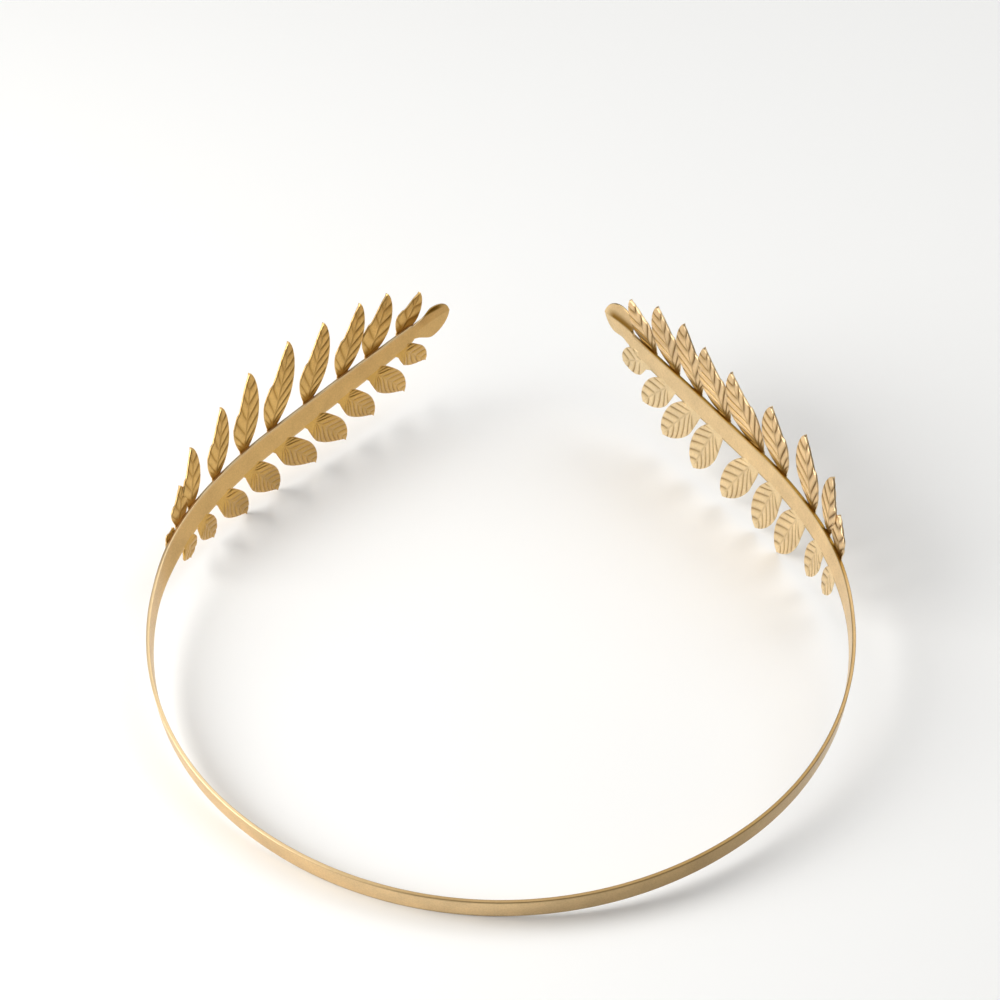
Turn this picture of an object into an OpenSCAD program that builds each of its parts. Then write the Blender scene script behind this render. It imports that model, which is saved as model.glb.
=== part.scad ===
// Leaf tiara: an open ring of flat metal strip with a leafy branch on each side.
// The plain strip runs round the back of the head, and the front of the ring is open.
// Millimetres, +Z up, +X the wearer's right, +Y the wearer's front.
// It is drawn as it rests on a table: on the strip's back edge and two lower leaves.
// Origin: on the table, under the middle of the bounding box.

/* [Ring] */
// radius of the arc at the back, to the middle of the strip
back_r = 79.5; // [70:0.5:90]
// turn of the back arc on each side of the middle, degrees
back_turn = 42; // [20:1:60]
// radius of the arc at each side of the head
side_r = 66; // [55:0.5:80]
// turn of each side arc, degrees
side_turn = 77; // [60:1:90]
// radius of the slack arc towards the front
front_r = 111; // [90:1:140]
// turn of the slack arc, degrees
front_turn = 11; // [5:1:20]
// straight run up to each end
front_run = 56; // [40:1:70]
// turn of each side arc that is plain head band, degrees
band_turn = 50; // [30:1:60]

/* [Strip] */
// width of the strip
strip_w = 5.6; // [4:0.1:8]
// width of the strip where it runs into the end leaf
strip_end_w = 4.6; // [3:0.1:8]
// thickness of the strip
strip_t = 0.8; // [0.6:0.05:1.2]
// bevel along the four edges of the strip
edge_cut = 0.15; // [0.05:0.05:0.3]
// lean of the plain band's upper edge away from the head, degrees
band_flare = 2.8; // [0:0.2:8]
// the same lean along the branch on the -X side, degrees
left_flare = 14; // [0:1:20]
// the same lean along the branch on the +X side, degrees
right_flare = 9; // [0:1:20]
// length over which the lean grows from the band's to the branch's
flare_run = 17; // [8:1:30]
// distance along the strip where it starts to narrow
taper_from = 190; // [150:1:205]
// distance along the strip where it ends inside the end leaf
stem_end = 215; // [212:0.5:218]

/* [Leaves] */
// thickness of a leaf along its midrib
leaf_t = 0.8; // [0.6:0.05:1.2]
// thickness of a leaf at its margin
margin_t = 0.5; // [0.4:0.05:1]
// height of the raised midrib on each face
rib_h = 0.15; // [0.05:0.05:0.3]
// height of the raised side veins on each face
vein_h = 0.12; // [0.05:0.01:0.3]
// pairs of side veins on a leaf
vein_pairs = 6; // [4:1:8]
// how far a vein runs towards the tip by the margin, share of the leaf's length
vein_slant = 0.2; // [0.1:0.01:0.24]
// how far the margins curl towards the head, share of the half width
cup = 0.12; // [0:0.01:0.25]
// how far a leaf's midrib lies outside the middle of the strip's thickness
leaf_out = 0.32; // [0:0.02:0.4]
// depth of a leaf's root in the strip
root_depth = 0.3; // [0.2:0.05:0.6]
// bend of the upper leaves out of the strip's face, -X side, degrees
left_upper_bend = 2; // [0:1:20]
// bend of the lower leaves out of the strip's face, -X side, degrees
left_lower_bend = 20; // [0:1:30]
// bend of the upper leaves out of the strip's face, +X side, degrees
right_upper_bend = 0; // [0:1:20]
// bend of the lower leaves out of the strip's face, +X side, degrees
right_lower_bend = 5; // [0:1:30]
// sweep of an upper leaf's midrib from root to tip, degrees
upper_sweep = -5; // [-15:1:5]
// sweep of a lower leaf's midrib from root to tip, degrees
lower_sweep = -10; // [-20:1:5]
// sweep of an end leaf's midrib from root to tip, degrees
end_sweep = 20; // [-20:1:30]

// Leaf tables, one row a leaf from the end of the branch to the band.
// Columns: distance along the strip from the back, length, lean towards the end, width.
left_upper = [
    [208.5, 12, 57, 6.4],
    [199, 16.5, 43, 7.8],
    [190, 18, 40, 8.2],
    [179, 18.5, 37.5, 8.2],
    [168, 20.5, 36, 8.4],
    [159, 18.5, 29, 8.2],
    [150, 16.5, 34, 7.2],
    [140.5, 13.5, 34, 6.4],
    [134, 10, 45, 5.6],
    [129, 5.5, 73, 4]
];
left_lower = [
    [208.5, 12.5, 40, 6.6],
    [199, 17, 35, 7.8],
    [189.5, 16.5, 33, 7.8],
    [179.5, 18, 34, 8.6],
    [169, 18.5, 35, 8.2],
    [159.5, 17.5, 28, 8],
    [149, 16.5, 29, 7.8],
    [141, 11.5, 20, 6.4],
    [134, 7.5, 15, 5.4]
];
right_upper = [
    [206, 14, 53, 7.4],
    [198, 17, 40, 8.4],
    [189.5, 17.5, 35, 8.6],
    [179.5, 18, 45, 8.8],
    [167.5, 20, 51, 9.4],
    [159.5, 16.5, 36, 9],
    [148, 18, 33, 8.6],
    [141, 14.5, 15, 7.4],
    [134, 9, 28, 6]
];
right_lower = [
    [206, 10.5, 52, 6],
    [198, 15, 34, 7.4],
    [189.5, 18.5, 29, 9],
    [181.5, 18, 17, 9],
    [169, 19, 23, 9.2],
    [160, 18, 13, 9],
    [150.5, 18.5, 16, 9],
    [141.5, 13, 9, 7],
    [134, 10, 10, 5.2]
];
// End leaves: distance where they start, length, lean, width
left_end_leaf = [212, 13.5, 93, 7.8];
right_end_leaf = [211.5, 12.6, 76, 7.4];

/* [Hidden] */
$fn = 96;

// columns of the leaf tables
AT = 0;
LENGTH = 1;
LEAN = 2;
WIDTH = 3;

// kinds of leaf: root width as a share of the width, where it is widest, sweep
UPPER = [0.30, 0.43, upper_sweep];
LOWER = [0.45, 0.42, lower_sweep];
END = [0.62, 0.50, end_sweep];

arcs = [[back_r, back_turn], [side_r, side_turn], [front_r, front_turn]];
band_end = arc_len(arcs[0]) + side_r*band_turn*PI/180;
path_len = arc_len(arcs[0]) + arc_len(arcs[1]) + arc_len(arcs[2]) + front_run;
ring_depth = walk(path_len)[1];

// short lengths that a branch's strip is drawn in
stem_parts = 26;
// rows and columns of points on each face of a leaf
rows = 2*vein_pairs;
across = [-1, -0.5, 0, 0.5, 1];
tip_w = 0.25;
// overlap that joins the band's last arc to the others, degrees
lap = 0.001;

function arc_len(arc) = arc[0]*arc[1]*PI/180;

function smooth(t) = let (c = min(1, max(0, t))) c*c*(3 - 2*c);

// Plan of one half of the ring at a distance from the back: [x, y, heading].
// Each arc is followed in turn, and what is left over runs straight on.
function walk(s, i = 0, x = 0, y = 0, h = 0) =
    i == len(arcs) ? [x + s*cos(h), y + s*sin(h), h] :
    let (
        r = arcs[i][0],
        run = arc_len(arcs[i]),
        turn = min(s, run)/r*180/PI,
        x1 = x + r*(sin(h + turn) - sin(h)),
        y1 = y - r*(cos(h + turn) - cos(h))
    )
    s <= run ? [x1, y1, h + turn] : walk(s - run, i + 1, x1, y1, h + turn);

function flare_at(s, side) =
    let (full = side < 0 ? left_flare : right_flare)
    band_flare + (full - band_flare)*smooth((s - band_end)/flare_run);

function strip_w_at(s) =
    strip_w + (strip_end_w - strip_w)*min(1, max(0, s - taper_from)/(stem_end - taper_from));

// Axes of the strip at a distance along it: middle, along, up the face, outward.
function axes_at(s, side) =
    let (
        p = walk(s),
        f = flare_at(s, side),
        out = [side*sin(p[2]), -cos(p[2]), 0],
        up = [0, 0, 1]
    )
    [
        [side*p[0], p[1] - ring_depth/2, 0],
        [side*cos(p[2]), sin(p[2]), 0],
        out*sin(f) + up*cos(f),
        out*cos(f) - up*sin(f)
    ];

// Half of the strip's section, as [up, out] corners with the edges bevelled.
function section(w) =
    let (a = w/2, b = strip_t/2, c = edge_cut)
    [[a, b - c], [a - c, b], [c - a, b], [-a, b - c], [-a, c - b], [c - a, -b], [a - c, -b], [a, c - b]];

// The section in space at a distance along the strip.
function slice(s, side) =
    let (x = axes_at(s, side))
    [for (q = section(strip_w_at(s))) x[0] + x[2]*q[0] + x[3]*q[1]];

// Half width of a leaf as a share of its widest, from its root at 0 to its tip at 1.
function outline(u, kind) =
    u < kind[1]
        ? kind[0] + (1 - kind[0])*(1 - pow(1 - u/kind[1], 1.8))
        : pow(max(0, cos(90*(u - kind[1])/(1 - kind[1]))), 0.8);

// Directions on a leaf at a share u of its length: along the midrib and across it.
function leaf_dirs(leaf, side, row, kind, bend, u) =
    let (
        x = axes_at(leaf[AT], side),
        lean = leaf[LEAN] + kind[2]*(u - 0.5),
        turn = row > 0 ? bend : bend*smooth(u/0.4),
        away = x[2]*row*cos(turn) + x[3]*sin(turn)
    )
    [x[1]*sin(lean) + away*cos(lean), x[1]*cos(lean) - away*sin(lean)];

// Point of the midrib: the direction is added up over four equal steps.
function midrib(leaf, side, row, kind, bend, u) =
    let (
        x = axes_at(leaf[AT], side),
        edge = abs(leaf[LEAN] - 90) < 20 ? 0 : strip_w_at(leaf[AT])/2 - root_depth,
        step = leaf[LENGTH]*u/4
    )
    x[0] + x[2]*row*edge + x[3]*leaf_out
        + step*([1, 1, 1, 1]*[for (k = [0.5:3.5]) leaf_dirs(leaf, side, row, kind, bend, u*k/4)[0]]);

// A point on one face (+1 outer, -1 inner), at a share u along and v across, on row i.
// The rows run in a V towards the tip, and every second one is raised as a vein.
function leaf_point(leaf, side, row, kind, bend, face, i, v) =
    let (
        u0 = i/rows,
        bow = 4*u0*(1 - u0),
        u = u0 + vein_slant*abs(v)*bow,
        d = leaf_dirs(leaf, side, row, kind, bend, u),
        n = side*row*cross(d[1], d[0]),
        half = max(tip_w, outline(u, kind)*leaf[WIDTH]/2),
        thick = leaf_t + (margin_t - leaf_t)*abs(v),
        vein = i%2 == 1 && abs(v) == 0.5 ? vein_h : 0,
        rib = v == 0 ? rib_h*min(1, bow*2) : 0
    )
    midrib(leaf, side, row, kind, bend, u) + d[1]*v*half
        + n*(face*(thick/2 + vein + rib) - cup*v*v*half);

// A closed leaf: an outer and an inner face of rows by columns, and the walls between.
module leaf(leaf, side, row, kind, bend) {
    nv = len(across);
    n = (rows + 1)*nv;
    points = [for (face = [1, -1], i = [0:rows], v = across)
        leaf_point(leaf, side, row, kind, bend, face, i, v)];
    cells = [for (i = [0:rows - 1], j = [0:nv - 2]) [i*nv + j, j >= nv/2 - 1]];
    outer = [for (c = cells) each c[1]
        ? [[c[0], c[0] + 1, c[0] + nv + 1], [c[0], c[0] + nv + 1, c[0] + nv]]
        : [[c[0], c[0] + 1, c[0] + nv], [c[0] + 1, c[0] + nv + 1, c[0] + nv]]];
    inner = [for (f = outer) [f[0] + n, f[2] + n, f[1] + n]];
    low = [for (i = [0:rows - 1]) each wall(i*nv, (i + 1)*nv, n)];
    high = [for (i = [0:rows - 1]) each wall((i + 2)*nv - 1, (i + 1)*nv - 1, n)];
    root = [for (j = [0:nv - 2]) each wall(j + 1, j, n)];
    tip = [for (j = [0:nv - 2]) each wall(rows*nv + j, rows*nv + j + 1, n)];
    faces = concat(outer, inner, low, high, root, tip);
    polyhedron(points, side*row > 0 ? [for (f = faces) [f[2], f[1], f[0]]] : faces);
}

// Two triangles from an edge of the outer face to the same edge of the inner one.
function wall(a, b, n) = [[a, b, b + n], [a, b + n, a + n]];

// One branch: the strip in short lengths with its leaves grown out of both edges.
module branch(side, uppers, lowers, end_leaf, upper_bend, lower_bend) {
    step = (stem_end - band_end)/stem_parts;
    for (i = [0:stem_parts - 1]) {
        a = slice(band_end + i*step, side);
        b = slice(band_end + (i + 1)*step, side);
        hull() polyhedron(concat(a, b), [[0, 1, 2, 3, 4, 5, 6, 7], [8, 9, 10, 11, 12, 13, 14, 15]]);
    }
    for (l = uppers) leaf(l, side, 1, UPPER, upper_bend);
    for (l = lowers) leaf(l, side, -1, LOWER, lower_bend);
    leaf(end_leaf, side, 1, END, 0);
}

// Rest on a table. The plane goes through the deepest lower leaf of each side and
// touches the strip's lower back edge.
function fall(p) = (back_point(0)[2] - p[2])/(p[1] - back_point(0)[1]);
function deepest(tips) =
    let (most = max([for (p = tips) fall(p)]))
    [for (p = tips) if (fall(p) == most) p][0];
function lower_tips(leaves, side, bend) =
    [for (l = leaves, face = [1, -1], v = [-1, 0, 1])
        leaf_point(l, side, -1, LOWER, bend, face, rows, v)];
left_tip = deepest(lower_tips(left_lower, -1, left_lower_bend));
right_tip = deepest(lower_tips(right_lower, 1, right_lower_bend));
function back_point(a) =
    let (q = section(strip_w)[3], f = band_flare)
    let (r = back_r + q[0]*sin(f) + q[1]*cos(f))
    [r*sin(a), back_r - ring_depth/2 - r*cos(a), q[0]*cos(f) - q[1]*sin(f)];
function plane(a) =
    let (c = cross(right_tip - back_point(a), left_tip - back_point(a))) c/norm(c);
first = plane(0);
normal = plane(atan(-first[0]/first[1]));
tilt = atan(normal[1]/normal[2]);
roll = -atan(normal[0]/norm([normal[1], normal[2]]));

function turned(p) =
    let (q = [p[0], p[1]*cos(tilt) - p[2]*sin(tilt), p[1]*sin(tilt) + p[2]*cos(tilt)])
    [q[0]*cos(roll) + q[2]*sin(roll), q[1], -q[0]*sin(roll) + q[2]*cos(roll)];

lift = -min(turned(left_tip)[2], turned(right_tip)[2]);
back_y = turned([0, -ring_depth/2 - strip_t/2, strip_w/2])[1];
front_y = max(
    turned(midrib(left_end_leaf, -1, 1, END, 0, 1))[1],
    turned(midrib(right_end_leaf, 1, 1, END, 0, 1))[1]
);

module rested() {
    translate([0, -(back_y + front_y)/2, lift])
        rotate([tilt, roll, 0])
            children();
}

// The place where the back arc meets a side arc, with +X out along their shared radius.
module at_joint(side) {
    translate([0, back_r - ring_depth/2, 0])
        rotate([0, 0, side*(90 + back_turn) - (side > 0 ? 180 : 0)])
            children();
}

// The strip's section swept through a turn, round a centre on the shared radius.
module bent_strip(r, turn) {
    translate([back_r - r, 0, 0])
        rotate_extrude(angle = turn)
            translate([r, 0])
                rotate(-band_flare)
                    polygon([for (q = section(strip_w)) [q[1], q[0]]]);
}

module headband() {
    color([0.80, 0.64, 0.38])
        rested() {
            at_joint(1) {
                bent_strip(back_r, -2*back_turn);
                bent_strip(side_r, band_turn);
            }
            at_joint(-1)
                rotate([0, 0, lap])
                    bent_strip(side_r, -band_turn - lap);
        }
}

module left_branch() {
    color([0.72, 0.56, 0.32])
        rested()
            branch(-1, left_upper, left_lower, left_end_leaf, left_upper_bend, left_lower_bend);
}

module right_branch() {
    color([0.88, 0.74, 0.52])
        rested()
            branch(1, right_upper, right_lower, right_end_leaf, right_upper_bend, right_lower_bend);
}

headband();
left_branch();
right_branch();
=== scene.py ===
"""Leaf tiara: an open ring of satin gold strip with a veined, leafy branch on each side.

The solids give the places; the strip and the leaves are drawn again here as smooth
cast metal. Sizes are in millimetres until rested() turns them into metres.
"""
import math
from collections import namedtuple

import bpy
import numpy as np
from mathutils import Matrix, Vector


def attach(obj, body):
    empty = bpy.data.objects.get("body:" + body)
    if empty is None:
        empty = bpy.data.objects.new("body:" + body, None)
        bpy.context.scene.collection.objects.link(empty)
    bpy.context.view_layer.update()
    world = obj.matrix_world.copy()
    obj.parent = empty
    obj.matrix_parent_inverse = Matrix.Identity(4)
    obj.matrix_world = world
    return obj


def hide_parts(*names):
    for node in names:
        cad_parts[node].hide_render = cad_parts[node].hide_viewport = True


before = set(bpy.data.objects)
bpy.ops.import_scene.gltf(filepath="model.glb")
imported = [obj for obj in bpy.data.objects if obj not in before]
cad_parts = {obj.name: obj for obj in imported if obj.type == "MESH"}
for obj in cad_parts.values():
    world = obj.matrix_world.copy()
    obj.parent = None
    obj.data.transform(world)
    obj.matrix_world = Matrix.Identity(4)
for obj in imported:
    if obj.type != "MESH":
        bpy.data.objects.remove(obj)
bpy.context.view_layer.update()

# Plan of the ring: radius and turn in degrees of each arc, from the back to the front.
ARCS = ((79.5, 42.0), (66.0, 77.0), (111.0, 11.0))
RING_DEPTH = 161.899
BAND_END = 115.872
STEM_END = 215.0

# Section of the strip, and the lean of its upper edge away from the head.
STRIP_WIDE = 5.6
STRIP_END_WIDE = 4.6
STRIP_THICK = 0.8
STRIP_EDGE = 0.18
TAPER_FROM = 190.0
BAND_FLARE = 2.8
LEFT_FLARE = 14.0
RIGHT_FLARE = 9.0
FLARE_RUN = 17.0

# How the level ring lies on the table: tilted about X, rolled about Y, then moved.
REST_TILT = 8.12636
REST_ROLL = -1.66821
REST_MOVE = (0.0, -0.131987, 14.4696)

# The strip's mesh: rows along it, points round a corner of its section, and how far
# from each corner the columns of the flat faces lie.
STRIP_ROWS = 861
CORNER_POINTS = 6
FLAT_COLUMNS = np.array([0.07, 0.5, 1.0])

# The strip at an end leaf. In the neck, given as its start and its run, the lower edge
# moves in. From there on the strip is buried in the leaf, narrower and thinner.
NECK, NECK_IN = (210.5, 3.5), 0.9
BURIED, BURIED_IN, BURIED_THIN = (213.0, 2.0), 0.9, 0.45

# Width and softness of the painted highlight and shade on the strip's edges and of the
# painted shade along the right stem's upper edge, where the upper leaves go behind it,
# and where that painted shade starts and ends.
PAINTED_EDGE_WIDE, PAINTED_EDGE_SOFT = 0.45, 0.4
TOP_SHADE_WIDE, TOP_SHADE_SOFT = 0.22, 0.16
TOP_SHADE_START, TOP_SHADE_END = (124.0, 10.0), (212.0, 5.0)

# Leaves, one row each, from the branch's end to the band: distance along the strip,
# length, lean towards the end in degrees, width, hook of the tip towards the end.
Leaf = namedtuple("Leaf", "at length lean width hook")
LEFT_UPPER = (
    (209.8, 10.9, 54.0, 7.1, 0.1),
    (199.7, 15.3, 41.0, 8.7, 0.0),
    (190.7, 17.7, 38.5, 8.1, 0.0),
    (179.9, 19.0, 35.0, 8.4, -0.1),
    (168.6, 20.9, 34.3, 8.3, -0.1),
    (160.0, 18.5, 27.5, 8.4, 0.2),
    (150.3, 16.4, 33.0, 7.3, 0.0),
    (141.0, 13.5, 33.0, 7.0, -0.1),
    (135.3, 8.8, 43.0, 6.6, -0.1),
    (129.9, 4.0, 79.0, 3.2, -0.1),
)
LEFT_LOWER = (
    (208.9, 12.8, 39.0, 7.0, 0.0),
    (199.5, 18.3, 33.5, 8.0, 0.0),
    (189.8, 17.7, 31.5, 7.8, 0.1),
    (179.6, 19.0, 32.5, 8.5, 0.0),
    (169.5, 19.0, 33.5, 8.4, 0.0),
    (159.8, 17.7, 27.5, 8.6, 0.1),
    (149.7, 16.7, 28.5, 8.2, 0.1),
    (141.6, 11.7, 21.0, 7.0, 0.1),
    (135.1, 7.3, 9.0, 7.6, 0.0),
)
RIGHT_UPPER = (
    (205.6, 13.7, 53.0, 6.7, 0.2),
    (197.4, 16.3, 40.0, 8.4, 0.0),
    (189.3, 17.0, 35.0, 8.2, -0.4),
    (179.2, 17.6, 45.0, 8.7, -0.8),
    (167.5, 19.2, 51.0, 9.0, -1.1),
    (159.4, 16.0, 36.0, 8.9, -0.3),
    (147.7, 17.4, 33.0, 8.5, 0.1),
    (140.6, 14.1, 18.5, 7.1, 0.2),
    (134.0, 9.2, 34.0, 6.8, 0.6),
)
RIGHT_LOWER = (
    (208.2, 9.0, 50.0, 7.6, 0.1),
    (198.4, 14.5, 34.0, 8.0, 0.1),
    (189.4, 18.3, 29.0, 8.7, 0.1),
    (181.4, 18.0, 17.0, 8.8, 0.1),
    (168.6, 18.9, 23.0, 8.5, 0.1),
    (160.0, 17.8, 13.0, 8.7, 0.1),
    (150.5, 18.2, 16.0, 8.8, 0.1),
    (141.4, 12.9, 9.0, 6.9, 0.1),
    (133.8, 10.0, 10.0, 5.9, 0.1),
)
LEFT_END = ((213.5, 11.7, 94.0, 7.0, 0.0),)
RIGHT_END = ((213.5, 10.2, 80.0, 7.4, 0.0),)

# Kinds of leaf: the row, 1 above the strip and -1 below it, and the bend out of the
# strip's face in degrees. Each margin, on the branch-end side and on the band side: share
# of the width at the root, share at the widest, where that is, the power of its rise and
# the two of its fall. Then the notch in the band-side margin and its place, the sweep,
# the slant of the veins at each side, their pitch, depth and sharpness, how deep the
# midrib is, the fold, how much painted shade darkens the grooves, and the run behind
# the strip.
UPPER_LEFT = dict(
    row=1, bend=2.0,
    end=(0.13, 0.41, 0.50, 1.8, 2.0, 0.60), band=(0.12, 0.46, 0.30, 1.8, 1.2, 1.0),
    notch=0.055, step=0.46, sweep=-5.0, slant=(0.33, 0.22), pitch=3.4, depth=0.10, sharp=3.0,
    rib=0.06, cup=0.07, groove_shade=0.9, behind=2.2)
UPPER_RIGHT = dict(
    row=1, bend=0.0,
    end=(0.11, 0.48, 0.55, 1.4, 2.0, 0.65), band=(0.09, 0.47, 0.43, 1.9, 1.5, 1.0),
    notch=0.055, step=0.52, sweep=-5.0, slant=(0.40, 0.26), pitch=3.2, depth=0.20, sharp=2.8,
    rib=0.07, cup=0.12, groove_shade=1.4, behind=2.2)
LOWER_LEFT = dict(
    row=-1, bend=20.0,
    end=(0.28, 0.42, 0.42, 1.8, 2.0, 0.75), band=(0.27, 0.46, 0.30, 1.8, 2.0, 1.3),
    notch=0.0, step=0.46, sweep=-10.0, slant=(0.24, 0.44), pitch=3.2, depth=0.20, sharp=2.8,
    rib=0.02, cup=0.12, groove_shade=0.5, behind=2.6)
LOWER_RIGHT = dict(
    row=-1, bend=5.0,
    end=(0.26, 0.46, 0.42, 1.8, 2.0, 0.62), band=(0.28, 0.48, 0.40, 1.8, 2.0, 0.80),
    notch=0.0, step=0.46, sweep=-10.0, slant=(0.24, 0.44), pitch=3.6, depth=0.18, sharp=3.2,
    rib=0.04, cup=0.12, groove_shade=1.0, behind=2.6)
# The end leaves, whose margins start to rise smoothly at the share given in place of
# the power, and how far above the strip's edge the ridge of their hollow starts.
LEFT_SPOON = dict(
    row=1, bend=0.0,
    end=(0.20, 0.62, 0.46, -0.10, 1.8, 0.52), band=(0.28, 0.42, 0.60, 0.24, 2.4, 0.50),
    notch=0.0, step=0.46, sweep=14.0, slant=(0.0, 0.0), pitch=1.5, depth=0.0, sharp=2.0,
    rib=0.0, cup=0.0, groove_shade=0.0, behind=4.0, ridge=0.0)
RIGHT_SPOON = dict(
    row=1, bend=0.0,
    end=(0.17, 0.36, 0.59, 0.10, 2.0, 0.70), band=(0.31, 0.78, 0.42, -0.12, 2.2, 0.60),
    notch=0.0, step=0.46, sweep=20.0, slant=(0.0, 0.0), pitch=1.5, depth=0.0, sharp=2.0,
    rib=0.0, cup=0.0, groove_shade=0.0, behind=4.0, ridge=0.3)

# A leaf's mesh: rows from one vein to the next, rows behind the root, columns from the
# midrib to a margin, and the steps by which the midrib's path is added up.
ROWS_A_VEIN = 20
ROWS_BEHIND = 8
HALF_COLUMNS = 12
MIDRIB_STEPS = 4

# Section of a leaf: how far inside the strip's edge it starts, its thickness at the
# midrib and at the margin, and the least half width.
ROOT_DEPTH = 0.3
LEAF_THICK = 0.8
MARGIN_THICK = 0.46
TIP_HALF = 0.15

# How far out of the strip's middle the leaves lie: a lower leaf, and an upper leaf at
# its root and beyond. Below its root an upper leaf sinks into the strip over a run, and
# gets thinner and narrower.
LOWER_OUT = 0.32
UPPER_OUT = 0.45
ROOT_OUT, ROOT_THICK = 0.62, 0.62
SINK_RUN, SINK_DEEP, SINK_THIN, SINK_NARROW = 2.0, 0.5, 0.2, 0.4

# The root of a lower leaf is a little fuller than the strip outside its edge, and
# thinner than it inside, where the strip hides it.
ROOT_FULL, HIDDEN_THIN, HIDDEN_RUN = 0.04, 0.13, 1.5

# By which share of its length a leaf has grown out of its root, bent out of the
# strip's face, turned away from the strip, thinned towards its margins and left the
# strip's own bend; where the fold grows; where the hook starts, and its power.
GROWN_BY = 0.45
BENT_BY = 0.4
TURNED_BY = 0.14
THINNED_BY = 0.3
STRAIGHT_BY = 0.35
FOLD = (-0.02, 0.3)
HOOK_FROM, HOOK_POWER = 0.62, 2.2

# The notch in a margin: how fast it steps in, and where it has come out again.
NOTCH_IN = 0.05
NOTCH_BACK = (0.42, 0.35)

# Grooves of the veins: where they start beside the midrib and fade at the margin in
# shares of the half width, and by how much; where they start in millimetres and end in
# shares of the length; the share of the depth that stands up between them; the
# midrib's half width; and how much painted shade darkens the midrib for its depth.
VEIN_INNER = (0.02, 0.10)
VEIN_OUTER, VEIN_LOSS = (0.85, 0.15), 0.6
VEIN_ROOT = (0.5, 1.6)
VEIN_TIP = (0.97, 0.14)
VEIN_LAND = 0.55
RIB_HALF = 0.05
RIB_SHADE = 8.0

# The painted shade at the root of an upper leaf, where it goes behind the strip: how far
# above the strip it reaches, how softly it ends, and where it starts behind the strip's edge.
ROOT_SHADE_UP, ROOT_SHADE_SOFT = 2.6, 1.7
ROOT_SHADE_FROM = (-1.0, 0.8)

# An end leaf: how much thicker its root is than the strip, how much of that the blade
# loses and where; how fast the ridge of its hollow falls. Above the ridge it bends back,
# over a rise, and painted shade darkens the hollow. Each has a place where it starts and
# one where it has ended, the latter measured back from the tip. The painted shade comes on
# at the ridge, and most of it goes again further up.
SPOON_FULL, SPOON_THIN, SPOON_THINS = 1.05, 0.17, (1.0, 3.0)
RIDGE_FALL = 0.012
WING_BACK, WING_RUN = 0.32, 1.4
WING_START, WING_END = (-1.5, 1.5), (1.0, 5.0)
HOLLOW_SHADE_START, HOLLOW_SHADE_END = (-1.0, 1.5), (0.6, 3.0)
HOLLOW_SHADE_COMES, HOLLOW_SHADE_GOES, HOLLOW_SHADE_LOSS = (-0.2, 0.5), (0.5, 2.2), 0.85


def smooth(t):
    """Rises from 0 at t = 0 to 1 at t = 1 as 3t^2 - 2t^3."""
    t = np.clip(t, 0.0, 1.0)
    return t*t*(3.0 - 2.0*t)


def ease(x, start, run):
    """Rises smoothly from 0 at the start to 1 one run further on."""
    return smooth((x - start)/run)


def fade(x, end, run):
    """Falls smoothly from 1, one run before the end, to 0 at the end."""
    return smooth((end - x)/run)


def walk(s):
    """Plan of the strip's middle at distances s from the back, and its heading.

    An arc of radius r adds r*(sin(h + t) - sin h) across and r*(cos h - cos(h + t))
    forward, where h is the heading at its start and t the part of its turn that s
    has passed. What is left over runs straight on.
    """
    x = y = h = np.zeros(np.shape(s))
    start = 0.0
    for radius, turn in ARCS:
        run = radius*math.radians(turn)
        t = np.clip(s - start, 0.0, run)/radius
        x = x + radius*(np.sin(h + t) - np.sin(h))
        y = y + radius*(np.cos(h) - np.cos(h + t))
        h = h + t
        start += run
    straight = np.maximum(s - start, 0.0)
    return x + straight*np.cos(h), y + straight*np.sin(h), h


def strip_axes(s):
    """Frames of the strip at signed distances s from the back, negative on the -X side.

    Gives the middle, along towards the branch's end, up the face, and out of it.
    With the lean f, up = level out*sin f + Z*cos f and out = level out*cos f - Z*sin f.
    """
    s = np.asarray(s, float)
    side = np.where(s < 0.0, -1.0, 1.0)
    x, y, h = walk(np.abs(s))
    full = np.where(s < 0.0, LEFT_FLARE, RIGHT_FLARE)
    lean = np.radians(BAND_FLARE + (full - BAND_FLARE)*ease(np.abs(s), BAND_END, FLARE_RUN))
    flat = np.zeros_like(x)
    middle = np.stack([side*x, y - RING_DEPTH/2.0, flat], -1)
    along = np.stack([side*np.cos(h), np.sin(h), flat], -1)
    level = np.stack([side*np.sin(h), -np.cos(h), flat], -1)
    rise = np.array([0.0, 0.0, 1.0])
    sine, cosine = np.sin(lean)[..., None], np.cos(lean)[..., None]
    return middle, along, level*sine + rise*cosine, level*cosine - rise*sine


def strip_wide_at(s):
    """Width of the strip: constant, then a straight taper to the branch's end."""
    share = np.clip((np.abs(s) - TAPER_FROM)/(STEM_END - TAPER_FROM), 0.0, 1.0)
    return STRIP_WIDE + (STRIP_END_WIDE - STRIP_WIDE)*share


def rested(points):
    """Points of the level ring as they rest on the table, in metres:
    turned by the tilt about X, then by the roll about Y, then moved."""
    turn = Matrix.Rotation(math.radians(REST_ROLL), 3, "Y")
    turn = np.array(turn @ Matrix.Rotation(math.radians(REST_TILT), 3, "X"))
    return (points @ turn.T + np.array(REST_MOVE))*0.001


def tube_faces(rows, columns):
    """Quads of a tube of rows by columns points that closes round its columns,
    and a fan at each end to the two points that follow the tube's own."""
    i, j = np.meshgrid(np.arange(rows - 1)*columns, np.arange(columns), indexing="ij")
    k = (j + 1) % columns
    quads = np.stack([i + j, i + k, i + columns + k, i + columns + j], -1)
    j = np.arange(columns)
    k = (j + 1) % columns
    first, last = rows*columns, rows*columns + 1
    near = np.stack([k, j, np.full(columns, first)], -1)
    end = (rows - 1)*columns
    far = np.stack([end + j, end + k, np.full(columns, last)], -1)
    return quads.reshape(-1, 4), np.concatenate([near, far])


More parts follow.
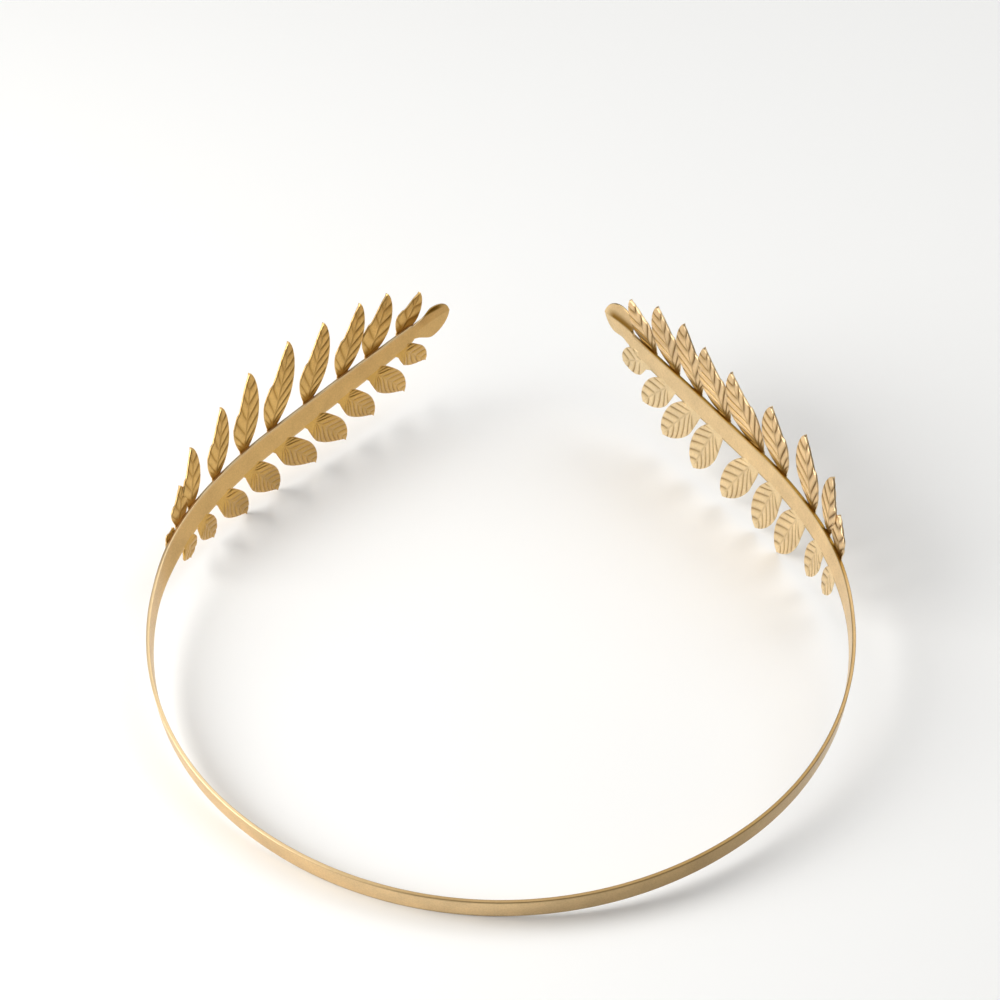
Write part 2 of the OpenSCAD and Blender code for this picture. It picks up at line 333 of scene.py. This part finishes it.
def closed_tube(grid, values):
    """Vertices, faces and vertex values of a tube given as (rows, columns, 3), closed
    at both ends by a fan to the middle of the end row. Faces are turned to point out
    by the sign of the volume, the sum of corner products a.(b x c)/6."""
    rows, columns = grid.shape[:2]
    ends = np.stack([grid[0].mean(0), grid[-1].mean(0)])
    points = np.concatenate([grid.reshape(-1, 3), ends])
    quads, fans = tube_faces(rows, columns)
    a, b, c, d = (points[quads[:, n]] for n in range(4))
    volume = (a*(np.cross(b, c) + np.cross(c, d))).sum() + (
        points[fans[:, 0]]*np.cross(points[fans[:, 1]], points[fans[:, 2]])).sum()
    if volume < 0.0:
        quads, fans = quads[:, ::-1], fans[:, ::-1]
    kept = {}
    for name, value in values.items():
        kept[name] = np.concatenate([value.reshape(-1), [value[0].mean(), value[-1].mean()]])
    return points, quads, fans, kept


def new_piece(name, tubes, material, nodes):
    """One object from several closed tubes, with their values as point attributes."""
    points, faces, values, base = [], [], {}, 0
    for tube_points, quads, fans, kept in tubes:
        points.append(tube_points)
        faces += (quads + base).tolist() + (fans + base).tolist()
        for key, value in kept.items():
            values.setdefault(key, []).append(value)
        base += len(tube_points)
    mesh = bpy.data.meshes.new(name)
    mesh.from_pydata(rested(np.concatenate(points)).tolist(), [], faces)
    for key, parts in values.items():
        layer = mesh.attributes.new(key, "FLOAT", "POINT")
        layer.data.foreach_set("value", np.concatenate(parts).astype(np.float32))
    mesh.shade_smooth()
    mesh.materials.append(material)
    piece = bpy.data.objects.new(name, mesh)
    bpy.context.scene.collection.objects.link(piece)
    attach(piece, "root")
    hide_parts(*nodes)


def strip_section(wide, thick, edge):
    """Outline of a bar's section, up and out of its middle: a rectangle with its corners
    rounded by quarter circles, with columns beside each corner to hold the faces flat."""
    angle = np.radians(np.linspace(90.0, 0.0, CORNER_POINTS))
    side_up, side_out = wide/2 - edge, thick/2 - edge
    corner_up = np.concatenate([side_up + edge*np.sin(angle), side_up - FLAT_COLUMNS])
    corner_out = np.concatenate(
        [side_out + edge*np.cos(angle), np.full(len(FLAT_COLUMNS), thick/2)])
    up = np.concatenate([corner_up, -corner_up[::-1], -corner_up, corner_up[::-1]])
    out = np.concatenate([corner_out, corner_out[::-1], -corner_out, -corner_out[::-1]])
    return up, out


def strip_tube():
    """The strip from one branch's end round the back to the other's: its section
    carried along the path, point = middle + up*a + out*b.

    The section narrows with the strip by moving each half of it in by half the loss of
    width, its lower half moves in again at the neck of the end leaf, and its last
    millimetres shrink inside that leaf. Its edges carry painted highlight and shade, and
    painted shade follows the upper edge of the right stem, where the upper leaves go behind it.
    """
    s = np.linspace(-STEM_END, STEM_END, STRIP_ROWS)
    up, out = strip_section(STRIP_WIDE, STRIP_THICK, STRIP_EDGE)
    middle, _, rise, outward = (axis[:, None, :] for axis in strip_axes(s))
    buried = ease(np.abs(s), *BURIED)[:, None]
    neck = NECK_IN*ease(np.abs(s), *NECK)[:, None]
    loss = (STRIP_WIDE - strip_wide_at(s))[:, None]/2.0 + BURIED_IN*buried
    a = up[None, :] - np.sign(up)[None, :]*loss + neck*(up < 0.0)[None, :]
    b = out[None, :]*(1.0 - BURIED_THIN*buried)
    zero = np.zeros(a.shape)
    # Painted highlight and painted shade on the strip's edges, in the edge colour of its metal.
    painted_edge = ease(np.abs(up), STRIP_WIDE/2 - PAINTED_EDGE_WIDE, PAINTED_EDGE_SOFT)
    # Painted shade along the right stem's upper edge, where the upper leaves go behind it.
    line = ease(up, STRIP_WIDE/2 - TOP_SHADE_WIDE, TOP_SHADE_SOFT)
    stem = ease(s, *TOP_SHADE_START)*fade(s, *TOP_SHADE_END)
    values = {
        "along": zero + s[:, None],
        "across": a,
        "edge": zero + painted_edge[None, :],
        "painted_shade": line[None, :]*stem[:, None],
    }
    return closed_tube(middle + rise*a[..., None] + outward*b[..., None], values)


def is_spoon(kind):
    """Whether a kind of leaf is an end leaf, which alone has a ridge."""
    return "ridge" in kind


def margin(u, kind, side):
    """Half width of one side of a leaf as a share of its width. It rises from the root's
    share to the peak as 1 - (1 - u/m)^r, m being the widest place, or in an end leaf
    smoothly from r to m, then falls as (1 - x^q)^p with x = (u - m)/(1 - m). The notch
    steps the band-side margin in at the given place."""
    root, peak, m, r, q, p = kind[side]
    if is_spoon(kind):
        rise = ease(u, r, m - r)
    else:
        rise = 1.0 - np.abs(1.0 - np.clip(u/m, 0.0, 1.0))**r
    fall = np.maximum(0.0, 1.0 - np.clip((u - m)/(1.0 - m), 0.0, 1.0)**q)**p
    share = np.where(u < m, root + (peak - root)*rise, peak*fall)
    if side == "band":
        back, back_run = NOTCH_BACK
        cut = ease(u, kind["step"], NOTCH_IN)*fade(u, kind["step"] + back, back_run)
        share = share - kind["notch"]*cut
    return share


def leaf_ways(u, side, kind, leaf):
    """Directions of a leaf at shares u of its length: along the midrib and across it.
    The lean changes steadily by the sweep, a lower leaf bends out of the strip's face
    over its first two fifths, and the end leaf leaves the strip straight."""
    _, along, up, out = strip_axes(side*leaf.at)
    lean = leaf.lean + kind["sweep"]*(u - 0.5)
    if is_spoon(kind):
        lean = 90.0 + (lean - 90.0)*ease(u, 0.0, TURNED_BY)
    lean = np.radians(lean)[..., None]
    bent = ease(u, 0.0, BENT_BY) if kind["row"] < 0 else np.ones_like(u)
    turn = np.radians(kind["bend"]*bent)[..., None]
    away = up*kind["row"]*np.cos(turn) + out*np.sin(turn)
    return along*np.sin(lean) + away*np.cos(lean), along*np.cos(lean) - away*np.sin(lean)


def hinge(x):
    """A softened corner, (sqrt(x^2 + 0.36) + x)/2: near 0 below x = 0 and near x above."""
    return (np.sqrt(x*x + 0.36) + x)/2.0


def leaf_rows(kind, length):
    """Shares of the length at the midrib for the rows of a leaf, how far each row is
    slanted, and its count of veins.

    The first veins start together at the root and spread to the margins; from there on
    they start one pitch apart. The rows lie closer at the grooves, which are the whole
    numbers of N = k - 0.1*sin(360 deg*k) for even steps of k.
    """
    veins = max(3, round(length/kind["pitch"]))
    fan = round(max(kind["slant"])*veins)
    k = np.arange(0, (veins + fan)*ROWS_A_VEIN + 1)/ROWS_A_VEIN
    count = k - 0.1*np.sin(2.0*math.pi*k)
    t = (hinge(count - fan) - hinge(-fan))/(hinge(veins) - hinge(-fan))
    spread = (1.0 - hinge(fan - count)/hinge(fan))*(1.0 - t*t)
    behind = np.linspace(-kind["behind"]/length, 0.0, ROWS_BEHIND, endpoint=False)
    still = np.zeros(ROWS_BEHIND)
    return (np.concatenate([first, last])[:, None]
            for first, last in ((behind, t), (still, spread), (still, count)))


def leaf_columns(kind):
    """Places v of a section's points from margin to margin and back, -1 to 1, and the
    face of each, 1 or -1. They lie closer at the midrib and at the margins, as
    sign(x)*(0.3*|x| + 0.7*smooth(|x|)) for even steps of x. An end leaf has twice as many."""
    half = HALF_COLUMNS*(2 if is_spoon(kind) else 1)
    x = np.linspace(-1.0, 1.0, 2*half + 1)
    v = np.sign(x)*(0.3*np.abs(x) + 0.7*smooth(np.abs(x)))
    face = np.concatenate([np.ones(len(v)), -np.ones(len(v) - 2)])
    return np.concatenate([v, v[-2:0:-1]])[None, :], face[None, :]


def leaf_seat(u, grown, kind, length):
    """How far out of the strip's middle a leaf lies, how thick it is, and how far it has
    sunk into the strip. Each goes smoothly from the root's value to the blade's. The end
    leaf lies in the strip's middle; an upper leaf lies on the strip's outer face."""
    still = 0.0*u
    if is_spoon(kind):
        return still, LEAF_THICK + still, still
    if kind["row"] < 0:
        return LOWER_OUT*grown, LEAF_THICK + still, still
    sunk = smooth(-u*length/SINK_RUN)
    place = ROOT_OUT + (UPPER_OUT - ROOT_OUT)*grown - SINK_DEEP*sunk
    thick = ROOT_THICK + (LEAF_THICK - ROOT_THICK)*grown - SINK_THIN*sunk
    return place, thick, sunk


def leaf_body(v, half, thick, thinned):
    """Half thickness of a leaf at the places v of its section, and how far round the
    margin each of them is, from 0 to 1. It goes in a straight line from the midrib's
    thickness towards the margin's, by the share thinned, and the margin is rounded as
    sqrt(1 - fall^2)."""
    body = thick/2.0 + (MARGIN_THICK - thick)/2.0*np.abs(v)*thinned
    rim = np.minimum(1.0, MARGIN_THICK/(2.0*half))
    fall = np.clip((np.abs(v) - (1.0 - rim))/rim, 0.0, 1.0)
    return body*np.sqrt(np.maximum(0.0, 1.0 - fall*fall)), fall


def leaf_veins(u, v, t, count, kind, length):
    """The grooves of the veins, from 0 to 1, how much of their relief is present at each
    point, and how deep the midrib is. A groove is |2f - 1|^sharp, where f is the row's
    share of the way between two veins, and the midrib is a bell, exp(-(v/0.05)^2)."""
    ends = ease(u*length, *VEIN_ROOT)*fade(t, *VEIN_TIP)
    sides = ease(np.abs(v), *VEIN_INNER)*(1.0 - VEIN_LOSS*ease(np.abs(v), *VEIN_OUTER))
    valley = np.abs(2.0*np.mod(count, 1.0) - 1.0)**kind["sharp"]
    return valley, sides*ends, np.exp(-(v/RIB_HALF)**2)*ends*kind["rib"]


def spoon_hollow(a, b, c, kind, length, half_strip):
    """The hollow along the upper side of an end leaf, for points a along the strip, b up
    and c out of it: gives c bent back, and how dark each point is.

    A ridge goes on from the strip's upper edge and falls by 0.012*a^2. Above it the leaf
    bends back, c + 0.32*smooth(rise above the ridge/1.4), and is darkened with painted
    shade, most of all just above the ridge. Both start at the neck and fade before the tip.
    The root is a little thicker than the strip and the blade is thinner.
    """
    c = c*(SPOON_FULL - SPOON_THIN*fade(a, *SPOON_THINS))
    over = b - (half_strip + kind["ridge"] - RIDGE_FALL*np.maximum(a, 0.0)**2)
    before_tip, run = WING_END
    reach = ease(a, *WING_START)*fade(a, length - before_tip, run)
    c = c + WING_BACK*ease(over, 0.0, WING_RUN)*reach
    before_tip, run = HOLLOW_SHADE_END
    dark = ease(over, *HOLLOW_SHADE_COMES)*(1.0 - HOLLOW_SHADE_LOSS*ease(over, *HOLLOW_SHADE_GOES))
    return c, dark*ease(a, *HOLLOW_SHADE_START)*fade(a, length - before_tip, run)


def leaf_tube(side, kind, leaf):
    """One leaf as a closed tube of V-shaped rows, from behind the strip to the tip.

    A row that starts at t on the midrib runs to the margins at u = t + slant*|v|*spread,
    so the rows follow the veins. A point is midrib(u) + across*v*half(u) + n*offset, with
    offset = +-(half thickness + relief) - fold: relief is the depth times (0.55 - groove)
    less the midrib, and the fold bends the margins towards the head by the cup times
    half(u)*(0.6*|v| + 0.4*v^2). Over the first third of the leaf its points are carried
    round with the strip's bend. Painted shade darkens the grooves, more towards the margins,
    and the midrib, and also the end leaf's hollow and one face of an upper leaf's root.
    """
    length, spoon = leaf.length, is_spoon(kind)
    upper, lower = kind["row"] > 0 and not spoon, kind["row"] < 0
    t, spread, count = leaf_rows(kind, length)
    v, face = leaf_columns(kind)
    u = t + np.where(v > 0.0, *kind["slant"])*np.abs(v)*spread
    grown = ease(u, 0.0, GROWN_BY)

    middle, along, up, out = strip_axes(side*leaf.at)
    half_strip = strip_wide_at(leaf.at)/2.0
    edge = 0.0 if spoon else half_strip - ROOT_DEPTH
    place, thick, sunk = leaf_seat(u, grown, kind, length)
    steps = sum(leaf_ways(u*(k + 0.5)/MIDRIB_STEPS, side, kind, leaf)[0]
                for k in range(MIDRIB_STEPS))
    path = steps*(length*u/MIDRIB_STEPS)[..., None]
    midrib = middle + up*kind["row"]*edge + out*place[..., None] + path
    ahead, across = leaf_ways(u, side, kind, leaf)
    n = side*kind["row"]*np.cross(across, ahead)

    half = np.where(v > 0.0, margin(u, kind, "end"), margin(u, kind, "band"))
    half = np.maximum(TIP_HALF, half*leaf.width)*(1.0 - SINK_NARROW*sunk)
    hook = leaf.hook*np.clip((u - HOOK_FROM)/(1.0 - HOOK_FROM), 0.0, 1.0)**HOOK_POWER
    body, fall = leaf_body(v, half, thick, 1.0 if upper else ease(u, 0.0, THINNED_BY))
    valley, present, rib = leaf_veins(u, v, t, count, kind, length)
    relief = (kind["depth"]*(VEIN_LAND - valley)*present - rib)*(1.0 - fall)
    fold = kind["cup"]*half*(0.6*np.abs(v) + 0.4*v*v)*ease(u, *FOLD)
    grid = midrib + across*(v*half + hook)[..., None] + n*(face*(body + relief) - fold)[..., None]

    a, b, c = (((grid - middle)*axis).sum(-1) for axis in (along, up, out))
    dark = 0.0*u
    if spoon:
        # Painted shade in the end leaf's hollow, most of it just above its ridge.
        c, dark = spoon_hollow(a, b, c, kind, length, half_strip)
    elif lower:
        hidden = fade(np.abs(b), half_strip, HIDDEN_RUN)
        c = c*(1.0 + (ROOT_FULL - HIDDEN_THIN*hidden)*(1.0 - grown))
    else:
        # Painted shade on one face of an upper leaf's root, where it goes behind the strip.
        root_shade = fade(b, half_strip + ROOT_SHADE_UP, ROOT_SHADE_SOFT)*ease(u*length, *ROOT_SHADE_FROM)
        dark = root_shade*(face < 0.0)
    flat = middle + along*a[..., None] + up*b[..., None] + out*c[..., None]
    start, _, rise, outward = strip_axes(side*(leaf.at + a))
    bent = start + rise*b[..., None] + outward*c[..., None]
    grid = bent + (flat - bent)*ease(u, 0.0, STRAIGHT_BY)[..., None]

    # Painted shade in the vein grooves, more towards the margins, and along the midrib.
    vein_shade = kind["groove_shade"]*(0.7 + 0.4*np.abs(v))*valley*present + RIB_SHADE*rib
    values = {
        "along": side*leaf.at + a,
        "across": b,
        # The rounded margins take the metal's painted edge colour: painted highlight where it is
        # paler than the metal, painted shade where it is darker.
        "edge": fall + 0.0*u,
        "painted_shade": np.clip(vein_shade + dark, 0.0, 1.0),
    }
    return closed_tube(grid, values)


# Grain of the brushing, in waves a millimetre along and across the strip, and the
# drifts of colour and the specks, in waves a metre.
GRAIN_ALONG, GRAIN_ACROSS = 0.35, 5.0
CLOUD_SCALE, CLOUD_TINT = 140.0, (0.87, 0.87, 0.87)
SPECK_SCALE, SPECK_TINT, SPECK_MOST = 2600.0, (0.6, 0.6, 0.6), 0.3

# The part of each noise that counts, how much the specks take from the roughness and
# add to it, and the depths of the brushing and of the pits.
CLOUD_SPREAD = (0.35, 0.65)
SPECK_SPREAD = (0.3, 0.7)
PIT_SPREAD, PIT_SMOOTHER, PIT_ROUGHER = (0.25, 0.75), 0.05, 0.07
BRUSH_DEPTH = 0.00003
PIT_DEPTH, PIT_STRENGTH = 0.00002, 0.35

# Where, along the strip, the darker colour of the -X side passes into the paler one of
# the +X side, painted shade into painted light; where the painted highlight and shade of
# the edges change; and where the painted shade on the +X side of the band comes and goes.
PAINTED_LIGHT_RUN = (-125.0, -20.0)
PAINTED_EDGE_RUN = (-60.0, -10.0)
BAND_SHADE_COMES, BAND_SHADE_GOES, BAND_SHADE_MOST = (0.0, 45.0), (70.0, 112.0), 0.9


def gold(name, colour, shade, rough, brush, rim, painted_edge, far=None, far_painted_edge=None, band_shade=None):
    """Satin gold plate: a metal whose colour drifts over centimetres, with a fine brushed
    grain along the strip, and a painted edge colour by the share rim: painted highlight where
    it is paler than the metal, painted shade where it is darker. The colour shade is painted
    shade in grooves, roots and hollows. With a far colour, the metal passes from the one to
    the other along the strip, painted shade on the -X side into painted light on the +X
    side, and so does its painted edge colour; with a band shade colour, painted shade
    darkens the +X side of the band."""
    material = bpy.data.materials.new(name)
    material.use_nodes = True
    nodes, links = material.node_tree.nodes, material.node_tree.links
    nodes.clear()

    def add(kind, **settings):
        node = nodes.new("ShaderNode" + kind)
        for key, value in settings.items():
            setattr(node, key, value)
        return node

    def ramp(source, low, high, out_low, out_high):
        node = add("MapRange")
        for socket, value in (("From Min", low), ("From Max", high),
                              ("To Min", out_low), ("To Max", out_high)):
            node.inputs[socket].default_value = value
        links.new(source, node.inputs["Value"])
        return node.outputs["Result"]

    def blend(share, first, second, how="MIX"):
        node = add("Mix", data_type="RGBA", blend_type=how)
        links.new(share, node.inputs["Factor"])
        for socket, colour_in in ((node.inputs["A"], first), (node.inputs["B"], second)):
            if isinstance(colour_in, tuple):
                socket.default_value = (*colour_in, 1.0)
            else:
                links.new(colour_in, socket)
        return node.outputs["Result"]

    def noise(source, scale, detail):
        node = add("TexNoise")
        node.inputs["Scale"].default_value = scale
        node.inputs["Detail"].default_value = detail
        links.new(source, node.inputs["Vector"])
        return node.outputs["Fac"]

    def dents(height, strength, distance):
        node = add("Bump")
        node.inputs["Strength"].default_value = strength
        node.inputs["Distance"].default_value = distance
        links.new(height, node.inputs["Height"])
        return node

    place = add("TexCoord").outputs["Object"]
    along, across, edge, painted_shade = (
        add("Attribute", attribute_name=key).outputs["Fac"]
        for key in ("along", "across", "edge", "painted_shade"))
    grain_place = add("CombineXYZ")
    links.new(ramp(along, 0.0, 1.0, 0.0, GRAIN_ALONG), grain_place.inputs["X"])
    links.new(ramp(across, 0.0, 1.0, 0.0, GRAIN_ACROSS), grain_place.inputs["Y"])
    grain = noise(grain_place.outputs["Vector"], 1.0, 3.0)
    cloud = noise(place, CLOUD_SCALE, 3.0)
    speck = noise(place, SPECK_SCALE, 2.0)

    # Painted shade on the -X side and painted light on the +X side: the colour passes from the
    # one to the other along the strip.
    tint = blend(ramp(along, *PAINTED_LIGHT_RUN, 0.0, 1.0), colour, far or colour)
    # Painted shade: the +X side of the band is darker, where its outer face turns away from the
    # light.
    if band_shade:
        share = add("Math", operation="MULTIPLY")
        links.new(ramp(along, *BAND_SHADE_COMES, 0.0, BAND_SHADE_MOST), share.inputs[0])
        links.new(ramp(along, *BAND_SHADE_GOES, 1.0, 0.0), share.inputs[1])
        tint = blend(share.outputs["Value"], tint, band_shade)
    base = blend(ramp(cloud, *CLOUD_SPREAD, 1.0, 0.0), tint, CLOUD_TINT, "MULTIPLY")
    base = blend(ramp(speck, *SPECK_SPREAD, 0.0, SPECK_MOST), base, SPECK_TINT, "MULTIPLY")
    # Painted highlight and shade on the edges: pale on the -X side of the strip, dark brown on
    # its +X side, and on the leaves paler or darker than their metal.
    edge_colour = blend(ramp(along, *PAINTED_EDGE_RUN, 0.0, 1.0), painted_edge, far_painted_edge or painted_edge)
    base = blend(ramp(edge, 0.0, 1.0, 0.0, rim), base, edge_colour)
    # Painted shade, in the colour shade, in grooves, roots, hollows and along the right stem's
    # upper edge.
    base = blend(painted_shade, base, shade)

    shader = add("BsdfPrincipled")
    shader.inputs["Metallic"].default_value = 1.0
    links.new(base, shader.inputs["Base Color"])
    links.new(ramp(speck, *PIT_SPREAD, rough - PIT_SMOOTHER, rough + PIT_ROUGHER),
              shader.inputs["Roughness"])
    brushed = dents(grain, brush, BRUSH_DEPTH)
    pitted = dents(speck, PIT_STRENGTH, PIT_DEPTH)
    links.new(brushed.outputs["Normal"], pitted.inputs["Normal"])
    links.new(pitted.outputs["Normal"], shader.inputs["Normal"])
    output = add("OutputMaterial")
    links.new(shader.outputs["BSDF"], output.inputs["Surface"])
    return material


# Lit and shaded copies of one gold: the left branch's metals are darker, its lower leaves darker
# still, and the right branch's paler, its lower leaves palest. This is painted shade and painted
# light for a light from the left; the strip's metal passes from the one to the other along its
# length.
band_gold = gold(
    "band_gold", colour=(0.71, 0.455, 0.175), shade=(0.29, 0.16, 0.028),
    rough=0.34, brush=0.5, rim=0.8, painted_edge=(0.78, 0.60, 0.36),
    far=(0.93, 0.69, 0.38), far_painted_edge=(0.30, 0.19, 0.075), band_shade=(0.50, 0.32, 0.11))
left_upper_gold = gold(
    "left_upper_gold", colour=(0.84, 0.54, 0.185), shade=(0.34, 0.17, 0.03),
    rough=0.38, brush=0.35, rim=0.45, painted_edge=(0.62, 0.42, 0.20))
left_lower_gold = gold(
    "left_gold", colour=(0.74, 0.45, 0.125), shade=(0.26, 0.115, 0.02),
    rough=0.36, brush=0.35, rim=0.1, painted_edge=(0.8, 0.55, 0.25))
right_upper_gold = gold(
    "right_gold", colour=(0.96, 0.70, 0.39), shade=(0.20, 0.11, 0.027),
    rough=0.38, brush=0.35, rim=0.4, painted_edge=(0.97, 0.74, 0.46))
right_lower_gold = gold(
    "right_lower_gold", colour=(1.0, 0.78, 0.46), shade=(0.30, 0.17, 0.05),
    rough=0.38, brush=0.35, rim=0.4, painted_edge=(1.0, 0.8, 0.5))

# The rows of leaves: branch, its side of the ring, piece, kind, leaves and metal.
BRANCH_ROWS = (
    ("left", -1, "upper_leaves", UPPER_LEFT, LEFT_UPPER, left_upper_gold),
    ("left", -1, "lower_leaves", LOWER_LEFT, LEFT_LOWER, left_lower_gold),
    ("left", -1, "end_leaf", LEFT_SPOON, LEFT_END, band_gold),
    ("right", 1, "upper_leaves", UPPER_RIGHT, RIGHT_UPPER, right_upper_gold),
    ("right", 1, "lower_leaves", LOWER_RIGHT, RIGHT_LOWER, right_lower_gold),
    ("right", 1, "end_leaf", RIGHT_SPOON, RIGHT_END, band_gold),
)
for branch, side, piece_name, kind, leaves, metal in BRANCH_ROWS:
    tubes = [leaf_tube(side, kind, Leaf(*leaf)) for leaf in leaves]
    new_piece(branch + "_" + piece_name, tubes, metal, [branch + "_branch"])
new_piece("strip", [strip_tube()], band_gold,
          ["headband", "left_branch", "right_branch"])

# Camera at the photograph's angle.
CAMERA_AT = Vector((0.01294, -0.39241, 0.39977))
CAMERA_AIM = Vector((-0.00188, 0.01201, 0.02731))
CAMERA_ROLL = 2.07
CAMERA_LENS = 91.13
camera = bpy.data.cameras.new("camera")
camera.lens = CAMERA_LENS
camera.clip_start = 0.01
eye = bpy.data.objects.new("camera", camera)
eye.matrix_world = Matrix.Translation(CAMERA_AT) @ (
    (CAMERA_AIM - CAMERA_AT).to_track_quat("-Z", "Y").to_matrix()
    @ Matrix.Rotation(math.radians(CAMERA_ROLL), 3, "Z")).to_4x4()
bpy.context.scene.collection.objects.link(eye)
bpy.context.scene.camera = eye

# Plain pale floor.
floor_mesh = bpy.data.meshes.new("floor")
floor_mesh.from_pydata([(-2, -2, 0), (2, -2, 0), (2, 2, 0), (-2, 2, 0)], [], [(0, 1, 2, 3)])
floor = bpy.data.objects.new("floor", floor_mesh)
floor_paint = bpy.data.materials.new("pale_floor")
floor_paint.use_nodes = True
paint = floor_paint.node_tree.nodes["Principled BSDF"]
paint.inputs["Base Color"].default_value = (0.93, 0.93, 0.92, 1.0)
paint.inputs["Roughness"].default_value = 0.7
floor_mesh.materials.append(floor_paint)
bpy.context.scene.collection.objects.link(floor)


def softbox(name, place, aim, size, power, colour):
    """A square soft light at place, turned to face aim."""
    lamp = bpy.data.lights.new(name, "AREA")
    lamp.size = size
    lamp.energy = power
    lamp.color = colour
    holder = bpy.data.objects.new(name, lamp)
    turn = (Vector(aim) - Vector(place)).to_track_quat("-Z", "Y")
    holder.matrix_world = Matrix.Translation(place) @ turn.to_matrix().to_4x4()
    bpy.context.scene.collection.objects.link(holder)


softbox("overhead", (0.0, 0.25, 0.9), (0.0, 0.0, 0.0), 0.9, 3.2, (1.0, 0.99, 0.97))
softbox("left_low", (-0.50, -0.16, 0.34), (0.05, 0.0, 0.0), 0.45, 3.2, (1.0, 0.98, 0.95))
softbox("front", (-0.6, -0.6, 0.6), (0.0, 0.0, 0.0), 0.5, 1.6, (1.0, 1.0, 1.0))
softbox("right_back", (0.55, 0.45, 0.75), (0.1, 0.05, 0.0), 0.6, 2.3, (1.0, 1.0, 1.0))

# The room's own light, dimmer towards the right of the camera.
ROOM_RIGHT = (0.8, -0.6, 0.0)
ROOM_LIGHT = (("From Min", -0.2), ("From Max", 0.8), ("To Min", 0.29), ("To Max", 0.08))
world = bpy.data.worlds.new("studio")
world.use_nodes = True
room = world.node_tree
to_right = room.nodes.new("ShaderNodeVectorMath")
to_right.operation = "DOT_PRODUCT"
to_right.inputs[1].default_value = ROOM_RIGHT
room.links.new(room.nodes.new("ShaderNodeTexCoord").outputs["Generated"], to_right.inputs[0])
level = room.nodes.new("ShaderNodeMapRange")
for socket, value in ROOM_LIGHT:
    level.inputs[socket].default_value = value
room.links.new(to_right.outputs["Value"], level.inputs["Value"])
room.nodes["Background"].inputs["Color"].default_value = (0.95, 0.97, 1.0, 1.0)
room.links.new(level.outputs["Result"], room.nodes["Background"].inputs["Strength"])
bpy.context.scene.world = world
bpy.context.scene.view_settings.view_transform = "Standard"
